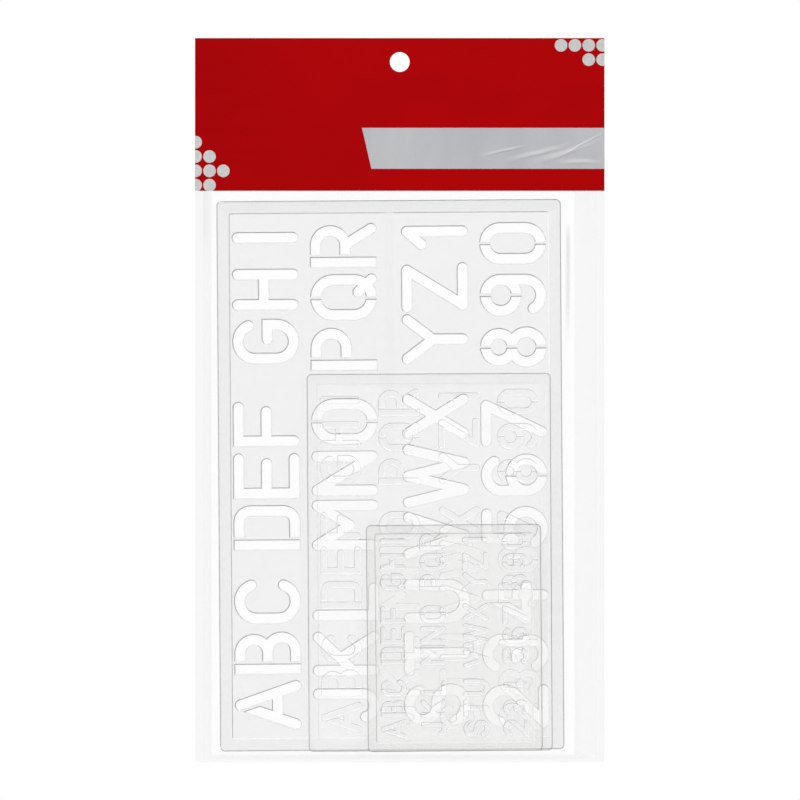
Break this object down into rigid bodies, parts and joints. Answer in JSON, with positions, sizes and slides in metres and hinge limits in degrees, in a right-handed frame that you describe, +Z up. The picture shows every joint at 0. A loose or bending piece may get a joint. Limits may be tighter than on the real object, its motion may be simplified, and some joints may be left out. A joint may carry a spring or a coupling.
{
  "type": "lettering stencil set",
  "caption": "Nested clear lettering stencils with bridged capital and numeral cut-outs, in a clear hang pack with a printed header and a closing lip.",
  "frame": {"origin": "centre of the hang hole, in the middle of the header's thickness", "axes": "+Z up, along the pack's height; the printed front faces -Y; +X is the viewer's right"},
  "size_m": [0.13, 0.0052, 0.23],
  "materials": {
    "clear_plastic": "clear moulded plastic, glossy",
    "clear_film": "clear soft film, glossy",
    "sealed_film": "two layers of clear film welded together",
    "red_print": "film printed deep red, glossy",
    "white_backing": "white film, satin",
    "silver_ink": "silver ink, satin",
    "grey_ink": "light grey ink",
    "adhesive": "translucent adhesive tape"
  },
  "bodies": {
    "pack": {"header_front": "red_print", "header_backing": "white_backing", "header_ribbon": "silver_ink", "header_dots": "grey_ink", "cross_weld": "sealed_film", "front_film": "clear_film", "back_film": "clear_film", "side_welds": "sealed_film", "bottom_weld": "sealed_film"},
    "lip": {"closure_lip": "clear_film", "closure_tape": "adhesive"},
    "stencil_large": {"stencil_large": "clear_plastic"},
    "stencil_medium": {"stencil_medium": "clear_plastic"},
    "stencil_small": {"stencil_small": "clear_plastic"}
  },
  "joints": [
    {"name": "lip_fold", "type": "hinge", "parent": "pack", "child": "lip", "pos_m": [0, 0.00485, -0.0409], "axis": [-1, 0, 0], "range_deg": [0, 170]},
    {"name": "stencil_large_slide", "type": "slide", "parent": "pack", "child": "stencil_large", "axis": [0, 0, 1], "range_m": [0, 0.235]},
    {"name": "stencil_medium_slide", "type": "slide", "parent": "pack", "child": "stencil_medium", "axis": [0, 0, 1], "range_m": [0, 0.235]},
    {"name": "stencil_small_slide", "type": "slide", "parent": "pack", "child": "stencil_small", "axis": [0, 0, 1], "range_m": [0, 0.235]}
  ]
}
